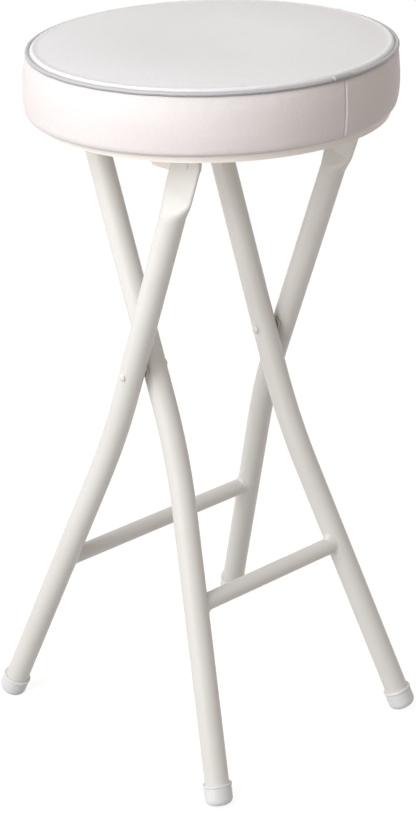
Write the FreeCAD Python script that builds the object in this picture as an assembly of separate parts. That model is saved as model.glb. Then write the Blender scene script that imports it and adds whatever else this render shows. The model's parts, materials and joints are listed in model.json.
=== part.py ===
import FreeCAD, Part
import math
import os
from FreeCAD import Vector

# Folding bar stool with two crossed tube frames and a round padded seat.
# Millimetres. Z is up, Y runs along the hinges, X is the direction the legs spread in.
# The origin is on the floor, in the middle of the stool's box.

os.makedirs("parts", exist_ok=True)

# Driving dimensions of the two frames
tube_diameter = 22.2
tube_wall = 1.2
pivot_height = 373.2
inner_foot_reach = 135.4
outer_foot_reach = 149.3
inner_half_width = 65.3
pivot_gap = 3.0
inner_foot_half_width = 117.9
outer_foot_half_width = 145.0
inner_splay_bend_drop = 80.0
outer_splay_bend_drop = 70.0
splay_bend_radius = 600.0
top_bend_radius = 32.0
top_bend_stub = 0.5
inner_stretcher_height = 168.8
outer_stretcher_height = 163.7
stretcher_diameter = 15.9
stretcher_wall = 1.0
weld_size = 2.4

# Flattened upper ends of the outer legs
flat_width = 33.0
flat_thickness = 3.5
hinge_height = 583.2
flat_start_drop = 29.0
taper_length = 26.0
taper_sections = 5
taper_step = 0.1

# Rivets, washers and spacers
pivot_rivet_diameter = 5.0
pivot_head_diameter = 7.6
pivot_head_height = 2.3
hinge_rivet_diameter = 6.0
hinge_head_diameter = 9.0
hinge_head_height = 2.4
head_edge_share = 0.3
running_clearance = 0.05
head_clearance = 0.10
spacer_diameter = 13.0
spacer_play = 0.15
hinge_washer_diameter = 15.0
hinge_washer_thickness = 1.2
washer_play = 0.1

# Foot caps
cap_radius = 12.8
cap_corner_radius = 6.0
cap_length = 19.5
cap_bottom_thickness = 3.0
cap_floor_flat = 0.5
cap_lip_radius = 13.4
cap_lip_height = 2.6
cap_fit = 0.05

# Seat, from the hinge's tongues up; insets are measured inward from the band's radius
seat_offset_from_pivot = 12.5
tongue_clearance = 0.8
pan_rim_height = 7.2
band_radius = 158.0
pan_inset = 8.0
board_inset = 12.4
piping_inset = 3.5
sheet_thickness = 1.2
board_thickness = 9.0
band_lower_inset = 0.4
band_fullness_rise = 3.0
roll_radius = 11.0
roll_sink = 0.5
cushion_height = 48.5
piping_diameter = 4.0
crown_height = 6.0
cover_thickness = 1.0
cover_gap = 0.3
underfold_width = 8.0

# Brackets under the seat
bracket_thickness = 2.0
bracket_below_hinge = 12.5
bracket_flange_width = 18.0
bracket_reach_forward = 13.0
bracket_reach_back = 64.0
bracket_end_slope = 16.0
catch_width = 60.0
catch_thickness = 1.5
catch_lip_drop = 20.0
catch_plate_length = 40.0
catch_gap = 0.3
screw_diameter = 4.0
screw_head_diameter = 8.0
screw_head_height = 2.2
screw_length = 10.0
screw_tip_gap = 0.5
screw_slot_length = 4.8
screw_slot_width = 1.0
screw_slot_depth = 0.9
screw_inset = 16.0

# Values worked out from the driving dimensions
tube_radius = tube_diameter / 2
bore_radius = tube_radius - tube_wall
stretcher_radius = stretcher_diameter / 2
outer_half_width = inner_half_width + tube_diameter + pivot_gap
taper_start_width = tube_diameter - taper_step
taper_start_thickness = tube_diameter - 2 * taper_step
inner_tilt = math.degrees(math.atan2(inner_foot_reach, pivot_height))
outer_tilt = math.degrees(math.atan2(outer_foot_reach, pivot_height))
board_radius = band_radius - board_inset
pan_radius = band_radius - pan_inset
piping_ring_radius = band_radius - piping_inset

pan_underside = hinge_height + flat_width / 2 + tongue_clearance
pan_top = pan_underside + sheet_thickness
pan_rim_bottom = pan_top - pan_rim_height
bracket_bottom = hinge_height - bracket_below_hinge
bracket_face = pan_underside - bracket_thickness
catch_face = pan_underside - catch_thickness
top_bar_height = catch_face - catch_gap - tube_radius
piping_height = pan_top + cushion_height

flat_inner_face = outer_half_width - flat_thickness / 2
flat_outer_face = outer_half_width + flat_thickness / 2
web_outer_face = flat_inner_face - hinge_washer_thickness - 2 * washer_play
web_inner_face = web_outer_face - bracket_thickness

X_AXIS = Vector(1, 0, 0)
Y_AXIS = Vector(0, 1, 0)
Z_AXIS = Vector(0, 0, 1)
SIDES = {"left": -1, "right": 1}

nodes = {}


def along_frame(height, tilt):
    """Distance from the pivot, measured in a frame's own plane, of a height above the floor."""
    return (height - pivot_height) / math.cos(math.radians(tilt))


def leg_line(side, half_width, foot_half_width, bend_drop, tilt):
    """Splay corner, direction down the leg and toe of one leg, in its frame's plane.

    The toe is the axis point level with the centre of the foot cap's rounded corner.
    """
    corner = Vector(0, side * half_width, along_frame(pivot_height - bend_drop, tilt))
    foot = Vector(0, side * foot_half_width, along_frame(0, tilt))
    down = (foot - corner).normalize()
    upright = -down.z * math.cos(math.radians(tilt))
    corner_circle = cap_radius - cap_corner_radius
    toe_height = corner_circle * math.sqrt(1 - upright ** 2) + cap_corner_radius - cap_floor_flat
    toe = corner + down * ((along_frame(toe_height, tilt) - corner.z) / down.z)
    return corner, down, toe


def outer_toe_reach():
    """How far the outer foot caps reach from the pivot, along X."""
    corner, down, toe = leg_line(
        1, outer_half_width, outer_foot_half_width, outer_splay_bend_drop, outer_tilt)
    lean = math.sin(math.radians(outer_tilt))
    corner_circle = cap_radius - cap_corner_radius
    return -toe.z * lean + corner_circle * math.sqrt(1 - (down.z * lean) ** 2) + cap_corner_radius


# Places along X: the stool's box is centred on the origin
pivot_x = (outer_toe_reach() - seat_offset_from_pivot - band_radius) / 2
seat_x = pivot_x + seat_offset_from_pivot
hinge_x = pivot_x + (hinge_height - pivot_height) * math.tan(math.radians(outer_tilt))
top_bar_x = pivot_x - (top_bar_height - pivot_height) * math.tan(math.radians(inner_tilt))


def stand_up(shape, tilt):
    """Tilts a shape drawn in a frame's plane, with the pivot at zero, to its place in the stool."""
    placed = shape.copy()
    placed.rotate(Vector(0, 0, 0), Y_AXIS, tilt)
    placed.translate(Vector(pivot_x, 0, pivot_height))
    return placed


def rounded_path(points, radii):
    """Straight runs through the points, joined by tangent arcs of the given radii."""
    edges = []
    start = points[0]
    for corner, after, radius in zip(points[1:-1], points[2:], radii):
        incoming = (corner - start).normalize()
        outgoing = (after - corner).normalize()
        turn = incoming.getAngle(outgoing)
        cut = radius * math.tan(turn / 2)
        arc_start = corner - incoming * cut
        arc_end = corner + outgoing * cut
        to_centre = (outgoing - incoming).normalize()
        middle = corner + to_centre * (radius / math.cos(turn / 2) - radius)
        edges.append(Part.LineSegment(start, arc_start).toShape())
        edges.append(Part.Arc(arc_start, middle, arc_end).toShape())
        start = arc_end
    edges.append(Part.LineSegment(start, points[-1]).toShape())
    return Part.Wire(edges)


def rod(points, radii, radius):
    """A solid round bar that follows a rounded path."""
    path = rounded_path(points, radii)
    direction = (points[1] - points[0]).normalize()
    ring = Part.Wire(Part.makeCircle(radius, points[0], direction))
    return path.makePipeShell([ring], True, False)


def cross_bar(radius, half_length, centre_z, centre_y=0.0):
    """A round bar along Y, in a frame's plane."""
    base = Vector(0, centre_y - half_length, centre_z)
    return Part.makeCylinder(radius, 2 * half_length, base, Y_AXIS)


def revolved(profile_edges, axis=Z_AXIS, degrees=360):
    """Turns a closed profile round an axis through zero."""
    face = Part.Face(Part.Wire(profile_edges))
    return face.revolve(Vector(0, 0, 0), axis, degrees)


def line(a, b):
    """A straight edge between two (radius, height) points of a profile."""
    return Part.LineSegment(Vector(a[0], 0, a[1]), Vector(b[0], 0, b[1])).toShape()


def arc(a, through, b):
    """An arc edge through three (radius, height) points of a profile."""
    middle = Vector(through[0], 0, through[1])
    return Part.Arc(Vector(a[0], 0, a[1]), middle, Vector(b[0], 0, b[1])).toShape()


def stadium(width, thickness, z, side):
    """Closed outline of a pressed tube: two flats joined by two half rounds."""
    half = (width - thickness) / 2
    r = thickness / 2
    y = side * outer_half_width
    corners = [
        Vector(-half, y - r, z), Vector(half, y - r, z),
        Vector(half, y + r, z), Vector(-half, y + r, z)]
    edges = [
        Part.LineSegment(corners[0], corners[1]).toShape(),
        Part.Arc(corners[1], Vector(half + r, y, z), corners[2]).toShape(),
        Part.LineSegment(corners[2], corners[3]).toShape(),
        Part.Arc(corners[3], Vector(-half - r, y, z), corners[0]).toShape(),
    ]
    return Part.Wire(edges)


def pressed_end(side, hinge_z):
    """Upper end of an outer leg: round tube pressed to a flat tongue with a round tip."""
    flat_z = hinge_z - flat_start_drop
    taper_z = flat_z - taper_length
    sections = []
    for step in range(taper_sections):
        share = step / (taper_sections - 1)
        eased = share * share * (3 - 2 * share)
        width = taper_start_width + (flat_width - taper_start_width) * eased
        thickness = taper_start_thickness + (flat_thickness - taper_start_thickness) * eased
        sections.append(stadium(width, thickness, taper_z + taper_length * share, side))
    taper = Part.makeLoft(sections, True, False)
    tongue_face = Part.Face(stadium(flat_width, flat_thickness, flat_z, side))
    tongue = tongue_face.extrude(Vector(0, 0, hinge_z - flat_z))
    half = (flat_width - flat_thickness) / 2
    r = flat_thickness / 2
    tip_profile = [
        Part.LineSegment(Vector(0, -r, 0), Vector(half, -r, 0)).toShape(),
        Part.Arc(Vector(half, -r, 0), Vector(half + r, 0, 0), Vector(half, r, 0)).toShape(),
        Part.LineSegment(Vector(half, r, 0), Vector(0, r, 0)).toShape(),
        Part.LineSegment(Vector(0, r, 0), Vector(0, -r, 0)).toShape(),
    ]
    tip = revolved(tip_profile, Y_AXIS, -180)
    tip.translate(Vector(0, side * outer_half_width, hinge_z))
    return taper.fuse([tongue, tip]), taper_z


def foot_cap(toe, down, tilt):
    """Soft cup over a tube's foot, with rounded corners, a lip and a small flat on the floor."""
    inner = tube_radius + cap_fit
    bottom = -cap_corner_radius
    top = bottom + cap_length
    lip_start = top - cap_lip_height
    seat_z = bottom + cap_bottom_thickness
    corner_circle = cap_radius - cap_corner_radius
    r45 = cap_corner_radius * math.sqrt(0.5)
    profile = [
        line((0, bottom), (corner_circle, bottom)),
        arc((corner_circle, bottom), (corner_circle + r45, -r45), (cap_radius, 0)),
        line((cap_radius, 0), (cap_radius, lip_start)),
        arc((cap_radius, lip_start), (cap_lip_radius, top - cap_lip_height / 2), (cap_radius, top)),
        line((cap_radius, top), (inner, top)),
        line((inner, top), (inner, seat_z)),
        line((inner, seat_z), (0, seat_z)),
        line((0, seat_z), (0, bottom)),
    ]
    cap = revolved(profile)
    splay = math.degrees(math.atan2(down.y, -down.z))
    cap.rotate(Vector(0, 0, 0), X_AXIS, splay)
    cap.translate(toe)
    cap = stand_up(cap, tilt)
    centre = cap.BoundBox.Center
    above_floor = Part.makeBox(2 * cap_length, 2 * cap_length, 2 * cap_length)
    above_floor.translate(Vector(centre.x - cap_length, centre.y - cap_length, 0))
    return cap.common(above_floor)


def dome_profile(diameter, height):
    """Half outline of a low dome on a short straight edge, as (radius, height) corners and arc middle."""
    r = diameter / 2
    edge = height * head_edge_share
    sphere = (r ** 2 + (height - edge) ** 2) / (2 * (height - edge))
    middle = (r / 2, height - sphere + math.sqrt(sphere ** 2 - (r / 2) ** 2))
    return (r, 0), (r, edge), middle, (0, height)


def dome_head(diameter, height):
    """A dome on its flat face at height zero, pointing up."""
    base, edge, middle, top = dome_profile(diameter, height)
    return revolved([line((0, 0), base), line(base, edge), arc(edge, middle, top), line(top, (0, 0))])


def rivet(diameter, head_diameter, head_height, inner_y, outer_y, side):
    """A rivet along Y, between two faces that its heads lie on."""
    shank_r = diameter / 2
    length = outer_y - inner_y
    base, edge, middle, top = dome_profile(head_diameter, head_height)
    outer = [(r, length + h) for r, h in (base, edge, middle, top)]
    inner = [(r, -h) for r, h in (base, edge, middle, top)]
    profile = [
        arc(inner[3], inner[2], inner[1]),
        line(inner[1], inner[0]),
        line(inner[0], (shank_r, 0)),
        line((shank_r, 0), (shank_r, length)),
        line((shank_r, length), outer[0]),
        line(outer[0], outer[1]),
        arc(outer[1], outer[2], outer[3]),
        line(outer[3], inner[3]),
    ]
    whole = revolved(profile)
    whole.rotate(Vector(0, 0, 0), X_AXIS, -90)
    whole.translate(Vector(0, inner_y, 0))
    if side < 0:
        whole = whole.mirror(Vector(0, 0, 0), Y_AXIS)
    return whole


def ring_washer(diameter, bore, inner_y, outer_y, side):
    """A flat ring along Y."""
    length = outer_y - inner_y
    ring = Part.makeCylinder(diameter / 2, length, Vector(0, inner_y, 0), Y_AXIS)
    hole = Part.makeCylinder(bore / 2, length, Vector(0, inner_y, 0), Y_AXIS)
    ring = ring.cut(hole)
    if side < 0:
        ring = ring.mirror(Vector(0, 0, 0), Y_AXIS)
    return ring


def weld_ring(fat_rod, leg_rod, stretcher_bar, reach, z, side):
    """Bead of weld round a stretcher's end, in the corner that it makes with the leg."""
    sleeve = Part.makeCylinder(stretcher_radius + weld_size, reach, Vector(0, 0, z), Y_AXIS * side)
    bead = sleeve.common(fat_rod)
    return bead.cut([leg_rod, stretcher_bar])


# Outer frame: the two legs that carry the seat hinge, and their stretcher
hinge_z = along_frame(hinge_height, outer_tilt)
outer_stretcher_z = along_frame(outer_stretcher_height, outer_tilt)
inner_stretcher_z = along_frame(inner_stretcher_height, inner_tilt)
top_bar_z = along_frame(top_bar_height, inner_tilt)
top_bar_half = inner_half_width - top_bend_radius - top_bend_stub


def leg_y_at(corner, down, z):
    """Sideways place of a leg's axis at a distance along its frame, below the splay bend."""
    return (corner + down * ((z - corner.z) / down.z)).y


def tube_end(toe, down):
    """Lower end of a leg's tube, on the bottom of its cap."""
    return toe + down * (cap_corner_radius - cap_bottom_thickness)


def outer_leg(side):
    """One outer leg in its frame's plane: finished tube, plain bar, fat bar for its weld, and its line."""
    leg = leg_line(side, outer_half_width, outer_foot_half_width, outer_splay_bend_drop, outer_tilt)
    corner, down, toe = leg
    end, taper_z = pressed_end(side, hinge_z)
    path = [tube_end(toe, down), corner, Vector(0, side * outer_half_width, taper_z)]
    bar = rod(path, [splay_bend_radius], tube_radius)
    bore = rod(path, [splay_bend_radius], bore_radius)
    fat = rod(path, [splay_bend_radius], tube_radius + weld_size)
    pivot_hole = cross_bar(
        pivot_rivet_diameter / 2 + running_clearance, tube_diameter, 0, side * outer_half_width)
    hinge_hole_radius = hinge_rivet_diameter / 2 + running_clearance
    hinge_hole = cross_bar(hinge_hole_radius, tube_diameter, hinge_z, side * outer_half_width)
    tube = bar.fuse(end).cut([bore, pivot_hole, hinge_hole])
    return tube, bar, fat, leg


def inner_leg(side):
    """One inner leg with the bend at its top, in its frame's plane."""
    leg = leg_line(side, inner_half_width, inner_foot_half_width, inner_splay_bend_drop, inner_tilt)
    corner, down, toe = leg
    top_corner = Vector(0, side * inner_half_width, top_bar_z)
    path = [tube_end(toe, down), corner, top_corner, Vector(0, side * top_bar_half, top_bar_z)]
    radii = [splay_bend_radius, top_bend_radius]
    bar = rod(path, radii, tube_radius)
    bore = rod(path, radii, bore_radius)
    fat = rod(path, radii, tube_radius + weld_size)
    pivot_hole = cross_bar(
        pivot_rivet_diameter / 2 + running_clearance, tube_diameter, 0, side * inner_half_width)
    return bar.cut([bore, pivot_hole]), bar, fat, leg


def add_frame(name, make_leg, stretcher_z, tilt):
    """Adds a frame's legs, foot caps, stretcher and welds to the nodes."""
    legs = {word: make_leg(side) for word, side in SIDES.items()}
    corner, down, toe = legs["right"][3]
    reach = leg_y_at(corner, down, stretcher_z)
    bar = cross_bar(stretcher_radius, reach, stretcher_z)
    bore = cross_bar(stretcher_radius - stretcher_wall, reach, stretcher_z)
    leg_bars = [legs[word][1] for word in SIDES]
    nodes[name + "_stretcher"] = stand_up(bar.cut(leg_bars + [bore]), tilt)
    beads = []
    for word, side in SIDES.items():
        tube, leg_bar, fat, (corner, down, toe) = legs[word]
        nodes[f"{name}_leg_{word}"] = stand_up(tube, tilt)
        nodes[f"{name}_foot_cap_{word}"] = foot_cap(toe, down, tilt)
        bead = weld_ring(fat, leg_bar, bar, reach, stretcher_z, side)
        beads.append(stand_up(bead, tilt))
    nodes[name + "_stretcher_welds"] = Part.makeCompound(beads)


add_frame("outer", outer_leg, outer_stretcher_z, outer_tilt)
add_frame("inner", inner_leg, inner_stretcher_z, inner_tilt)

# Cross bar at the top of the inner frame, between the two top bends
top_bar = cross_bar(tube_radius, top_bar_half, top_bar_z)
top_bar_bore = cross_bar(bore_radius, top_bar_half, top_bar_z)
nodes["inner_top_bar"] = stand_up(top_bar.cut(top_bar_bore), inner_tilt)

# The inner frame leans the other way
for name in [n for n in nodes if n.startswith("inner")]:
    nodes[name] = nodes[name].mirror(Vector(pivot_x, 0, 0), X_AXIS)

# Rivets and spacers at the crossing, and rivets and washers at the seat hinge
for word, side in SIDES.items():
    inner_face = inner_half_width - tube_radius - head_clearance
    outer_face = outer_half_width + tube_radius
    pin = rivet(pivot_rivet_diameter, pivot_head_diameter, pivot_head_height, inner_face, outer_face, side)
    pin.translate(Vector(pivot_x, 0, pivot_height))
    nodes[f"pivot_rivet_{word}"] = pin
    gap_inner = inner_half_width + tube_radius + spacer_play
    gap_outer = outer_half_width - tube_radius - spacer_play
    pivot_bore = pivot_rivet_diameter + 2 * running_clearance
    spacer = ring_washer(spacer_diameter, pivot_bore, gap_inner, gap_outer, side)
    spacer.translate(Vector(pivot_x, 0, pivot_height))
    nodes[f"pivot_spacer_{word}"] = spacer

    inner_face = web_inner_face - head_clearance
    pin = rivet(
        hinge_rivet_diameter, hinge_head_diameter, hinge_head_height, inner_face, flat_outer_face, side)
    pin.translate(Vector(hinge_x, 0, hinge_height))
    nodes[f"hinge_rivet_{word}"] = pin
    hinge_bore = hinge_rivet_diameter + 2 * running_clearance
    washer_inner = web_outer_face + washer_play
    washer_outer = flat_inner_face - washer_play
    washer = ring_washer(hinge_washer_diameter, hinge_bore, washer_inner, washer_outer, side)
    washer.translate(Vector(hinge_x, 0, hinge_height))
    nodes[f"hinge_washer_{word}"] = washer


def screw(x, y, under_face):
    """Pan head screw driven upward, its head under a face."""
    head = dome_head(screw_head_diameter, screw_head_height).mirror(Vector(0, 0, 0), Z_AXIS)
    shank = Part.makeCylinder(screw_diameter / 2, screw_length, Vector(0, 0, 0), Z_AXIS)
    whole = head.fuse(shank)
    slot = Part.makeBox(screw_slot_length, screw_slot_width, screw_slot_depth)
    slot.translate(Vector(-screw_slot_length / 2, -screw_slot_width / 2, -screw_head_height))
    cross = slot.copy()
    cross.rotate(Vector(0, 0, 0), Z_AXIS, 90)
    whole = whole.cut([slot, cross])
    whole.translate(Vector(x, y, under_face))
    return whole


def screw_hole(x, y, under_face):
    """Hole for a screw, from the face that its head lies on to just past its tip."""
    radius = screw_diameter / 2 + running_clearance
    return Part.makeCylinder(radius, screw_length + screw_tip_gap, Vector(x, y, under_face), Z_AXIS)


# Hinge brackets: a web beside each outer leg's tongue and a flange under the pan
front_x = hinge_x + bracket_reach_forward
back_x = hinge_x - bracket_reach_back
corner_radius = bracket_reach_forward
screw_xs = [back_x + screw_inset, front_x - screw_inset]
flange_inner_face = web_outer_face - bracket_flange_width
flange_screw_y = (flange_inner_face + web_inner_face) / 2
bracket_screw_places = []
for word, side in SIDES.items():
    arc_middle_x = front_x - corner_radius * (1 - math.sqrt(0.5))
    arc_middle_z = bracket_bottom + corner_radius * (1 - math.sqrt(0.5))
    outline = [
        line((back_x, pan_underside), (back_x + bracket_end_slope, bracket_bottom)),
        line((back_x + bracket_end_slope, bracket_bottom), (front_x - corner_radius, bracket_bottom)),
        arc((front_x - corner_radius, bracket_bottom), (arc_middle_x, arc_middle_z),
            (front_x, bracket_bottom + corner_radius)),
        line((front_x, bracket_bottom + corner_radius), (front_x, pan_underside)),
        line((front_x, pan_underside), (back_x, pan_underside)),
    ]
    web = Part.Face(Part.Wire(outline)).extrude(Vector(0, bracket_thickness, 0))
    web.translate(Vector(0, web_inner_face, 0))
    flange = Part.makeBox(front_x - back_x, bracket_flange_width, bracket_thickness)
    flange.translate(Vector(back_x, flange_inner_face, pan_underside - bracket_thickness))
    bracket = web.fuse(flange)
    hinge_hole = cross_bar(hinge_rivet_diameter / 2 + running_clearance, outer_half_width, 0)
    hinge_hole.translate(Vector(hinge_x, 0, hinge_height))
    bracket = bracket.cut([hinge_hole] + [screw_hole(x, flange_screw_y, bracket_face) for x in screw_xs])
    if side < 0:
        bracket = bracket.mirror(Vector(0, 0, 0), Y_AXIS)
    nodes[f"seat_bracket_{word}"] = bracket.removeSplitter()
    bracket_screw_places += [(x, side * flange_screw_y) for x in screw_xs]

# Catch: a plate under the pan with a lip behind the inner frame's top bar
lip_inner_x = top_bar_x - tube_radius - catch_gap
lip_outer_x = lip_inner_x - catch_thickness
catch_plate = Part.makeBox(catch_plate_length + catch_thickness, catch_width, catch_thickness)
catch_plate.translate(Vector(lip_outer_x, -catch_width / 2, catch_face))
catch_lip = Part.makeBox(catch_thickness, catch_width, catch_lip_drop)
catch_lip.translate(Vector(lip_outer_x, -catch_width / 2, pan_underside - catch_lip_drop))
catch_screw_x = lip_outer_x + catch_thickness + catch_plate_length - screw_head_diameter
catch_screw_places = [
    (catch_screw_x, side * (catch_width / 2 - screw_head_diameter)) for side in SIDES.values()]
catch = catch_plate.fuse(catch_lip).removeSplitter()
catch_holes = [screw_hole(x, y, catch_face) for x, y in catch_screw_places]
nodes["seat_catch"] = catch.cut(catch_holes)

nodes["bracket_screws"] = Part.makeCompound([screw(x, y, bracket_face) for x, y in bracket_screw_places])
nodes["catch_screws"] = Part.makeCompound([screw(x, y, catch_face) for x, y in catch_screw_places])
holes = catch_holes + [screw_hole(x, y, bracket_face) for x, y in bracket_screw_places]

# Seat pan with its turned-down rim, and the board on it
seat_centre = Vector(seat_x, 0, 0)


def on_seat(shape):
    """Moves a shape drawn round the Z axis to the seat's centre."""
    return shape.translated(seat_centre)


disc = Part.makeCylinder(pan_radius, sheet_thickness, Vector(0, 0, pan_underside), Z_AXIS)
nodes["seat_pan"] = on_seat(disc).cut(holes)
rim_foot = Vector(0, 0, pan_rim_bottom)
rim_outer = Part.makeCylinder(pan_radius, pan_rim_height - sheet_thickness, rim_foot, Z_AXIS)
rim_inner = Part.makeCylinder(pan_radius - sheet_thickness, pan_rim_height, rim_foot, Z_AXIS)
nodes["seat_pan_rim"] = on_seat(rim_outer.cut(rim_inner))
board_bottom = pan_top + cover_thickness
board = Part.makeCylinder(board_radius, board_thickness, Vector(0, 0, board_bottom), Z_AXIS)
fold_recess = Part.makeCylinder(
    board_radius - underfold_width, cover_thickness, Vector(0, 0, pan_top), Z_AXIS)
nodes["seat_board"] = on_seat(board.fuse(fold_recess).removeSplitter()).cut(holes)

# Side band of the cover: drawn in at the top under the piping, full below it, rolled under at the bottom
t = cover_thickness
band_top_z = piping_height - piping_diameter / 2
band_top_r = piping_ring_radius
band_mid_z = (band_top_z + pan_top) / 2 + band_fullness_rise
lower_r = band_radius - band_lower_inset
lower_z = pan_top + roll_radius - roll_sink


def roll_point(radius, level, share=1.0):
    """Point on the rounded lower corner: a share of the turn from its side down to a level."""
    turn = math.asin((lower_z - level) / radius) * share
    return (lower_r - roll_radius + radius * math.cos(turn), lower_z - radius * math.sin(turn))


inner_roll = roll_radius - t
fold_r = board_radius - underfold_width
outside = [
    line((fold_r, pan_top), roll_point(roll_radius, pan_top)),
    arc(roll_point(roll_radius, pan_top), roll_point(roll_radius, pan_top, 0.5), (lower_r, lower_z)),
    arc((lower_r, lower_z), (band_radius, band_mid_z), (band_top_r, band_top_z)),
]
inside = [
    line((band_top_r, band_top_z), (band_top_r - t, band_top_z)),
    arc((band_top_r - t, band_top_z), (band_radius - t, band_mid_z), (lower_r - t, lower_z)),
    arc(
        (lower_r - t, lower_z),
        roll_point(inner_roll, pan_top + t, 0.5), roll_point(inner_roll, pan_top + t)),
    line(roll_point(inner_roll, pan_top + t), (fold_r, pan_top + t)),
    line((fold_r, pan_top + t), (fold_r, pan_top)),
]
nodes["cover_band"] = on_seat(revolved(outside + inside))

# Piping round the top edge
piping = Part.makeTorus(piping_ring_radius, piping_diameter / 2, Vector(0, 0, piping_height), Z_AXIS)
nodes["cover_piping"] = on_seat(piping)

# Top panel of the cover, crowned
panel_r = piping_ring_radius - piping_diameter / 2
crown_top = piping_height + crown_height
crown_sphere = (panel_r ** 2 + crown_height ** 2) / (2 * crown_height)


def crown_point(radius, below=0.0):
    """Point of the crown at a radius, or as far below it as asked."""
    sphere = crown_sphere - below
    return (radius, crown_top - crown_sphere + math.sqrt(sphere ** 2 - radius ** 2))


top_profile = [
    line(crown_point(0), crown_point(0, t)),
    arc(crown_point(0, t), crown_point(panel_r / 2, t), crown_point(panel_r, t)),
    line(crown_point(panel_r, t), crown_point(panel_r)),
    arc(crown_point(panel_r), crown_point(panel_r / 2), crown_point(0)),
]
nodes["cover_top"] = on_seat(revolved(top_profile))

# Foam: fills the cover from the board up, clear of the skin by a hair
g = t + cover_gap
foam_bottom = board_bottom + board_thickness
foam_bottom_r = roll_point(roll_radius - g, foam_bottom)[0]
foam_edge_r = band_top_r - g - piping_diameter / 2
foam_edge = crown_point(foam_edge_r, g)
foam_profile = [
    line((0, foam_bottom), (foam_bottom_r, foam_bottom)),
    line((foam_bottom_r, foam_bottom), (lower_r - g, lower_z)),
    arc((lower_r - g, lower_z), (band_radius - g, band_mid_z), foam_edge),
    arc(foam_edge, crown_point(foam_edge_r / 2, g), crown_point(0, g)),
    line(crown_point(0, g), (0, foam_bottom)),
]
nodes["seat_foam"] = on_seat(revolved(foam_profile))

for name, shape in nodes.items():
    shape.exportStep(f"parts/{name}.step")
    box = shape.BoundBox
    print(name, shape.isValid(), len(shape.Solids), round(shape.Volume), [round(v, 1) for v in (
        box.XMin, box.YMin, box.ZMin, box.XMax, box.YMax, box.ZMax)])
print("pivot", round(pivot_x, 3), "hinge", round(hinge_x, 3), "seat", round(seat_x, 3))
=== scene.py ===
import json
import math

import bpy
import numpy as np
from mathutils import Matrix, Vector, noise


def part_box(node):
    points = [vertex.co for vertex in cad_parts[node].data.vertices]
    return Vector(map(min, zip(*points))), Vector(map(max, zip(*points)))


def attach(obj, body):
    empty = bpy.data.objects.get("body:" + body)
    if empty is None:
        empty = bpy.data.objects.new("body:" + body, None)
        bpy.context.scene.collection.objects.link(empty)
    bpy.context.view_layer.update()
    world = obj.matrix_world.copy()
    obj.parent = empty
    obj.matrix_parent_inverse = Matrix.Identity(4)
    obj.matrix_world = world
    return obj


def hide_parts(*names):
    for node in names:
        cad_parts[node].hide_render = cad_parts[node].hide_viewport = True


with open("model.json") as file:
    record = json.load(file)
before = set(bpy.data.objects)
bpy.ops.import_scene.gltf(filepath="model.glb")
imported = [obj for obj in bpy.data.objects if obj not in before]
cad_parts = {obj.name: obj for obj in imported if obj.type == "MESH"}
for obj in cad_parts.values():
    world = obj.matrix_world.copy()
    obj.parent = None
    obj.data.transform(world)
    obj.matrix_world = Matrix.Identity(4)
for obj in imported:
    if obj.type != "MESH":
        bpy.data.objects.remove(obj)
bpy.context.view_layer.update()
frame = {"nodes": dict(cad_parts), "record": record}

MM = 0.001

# The camera, placed from the crossing pivot; the photograph's size and optical centre are in pixels
PIVOT = Vector(frame["record"]["behaviour"]["joints"][0]["pos_m"])
CAMERA_FROM_PIVOT = Vector((1.2345, -1.0370, 0.6799))
AZIMUTH = math.radians(50.11)
PITCH = math.radians(24.66)
ROLL = math.radians(-1.655)
FOCAL_PIXELS = 1941.9
IMAGE_WIDTH = 416
IMAGE_HEIGHT = 813
CENTRE_X = 207.95
CENTRE_Y = 406.5
SENSOR = 36.0
CLIP_RANGE = (0.05, 50)

# Seat measures, from the frame
SEAT_LOW, SEAT_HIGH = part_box("cover_band")
PIPING_LOW, PIPING_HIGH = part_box("cover_piping")
PAN_LOW, PAN_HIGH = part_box("seat_pan")
SEAT_X = (PIPING_LOW[0] + PIPING_HIGH[0]) / 2
PIPING_RADIUS = (PIPING_HIGH[2] - PIPING_LOW[2]) / 2
PIPING_RING = (PIPING_HIGH[0] - PIPING_LOW[0]) / 2 - PIPING_RADIUS
PIPING_Z = (PIPING_HIGH[2] + PIPING_LOW[2]) / 2
BAND_RADIUS = (SEAT_HIGH[0] - SEAT_LOW[0]) / 2
PAN_RADIUS = (PAN_HIGH[0] - PAN_LOW[0]) / 2
BAND_BOTTOM = PAN_HIGH[2]
FOAM_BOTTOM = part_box("seat_foam")[0][2]
THICKNESS = 1.0 * MM


def make_camera():
    """A camera where the photographer stood."""
    data = bpy.data.cameras.new("camera")
    data.sensor_fit = "AUTO"
    data.sensor_width = SENSOR
    data.lens = FOCAL_PIXELS / IMAGE_HEIGHT * SENSOR
    data.shift_x = -(CENTRE_X - IMAGE_WIDTH / 2) / IMAGE_HEIGHT
    data.shift_y = (CENTRE_Y - IMAGE_HEIGHT / 2) / IMAGE_HEIGHT
    data.clip_start, data.clip_end = CLIP_RANGE
    camera = bpy.data.objects.new("camera", data)
    bpy.context.scene.collection.objects.link(camera)
    ahead = Vector((-math.sin(AZIMUTH), math.cos(AZIMUTH), 0))
    look = ahead * math.cos(PITCH) - Vector((0, 0, math.sin(PITCH)))
    right = Vector((math.cos(AZIMUTH), math.sin(AZIMUTH), 0))
    up = right.cross(look)
    right_rolled = right * math.cos(ROLL) + up * math.sin(ROLL)
    up_rolled = up * math.cos(ROLL) - right * math.sin(ROLL)
    turn = Matrix((right_rolled, up_rolled, -look)).transposed().to_4x4()
    camera.matrix_world = Matrix.Translation(PIVOT + CAMERA_FROM_PIVOT) @ turn
    bpy.context.scene.camera = camera


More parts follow.
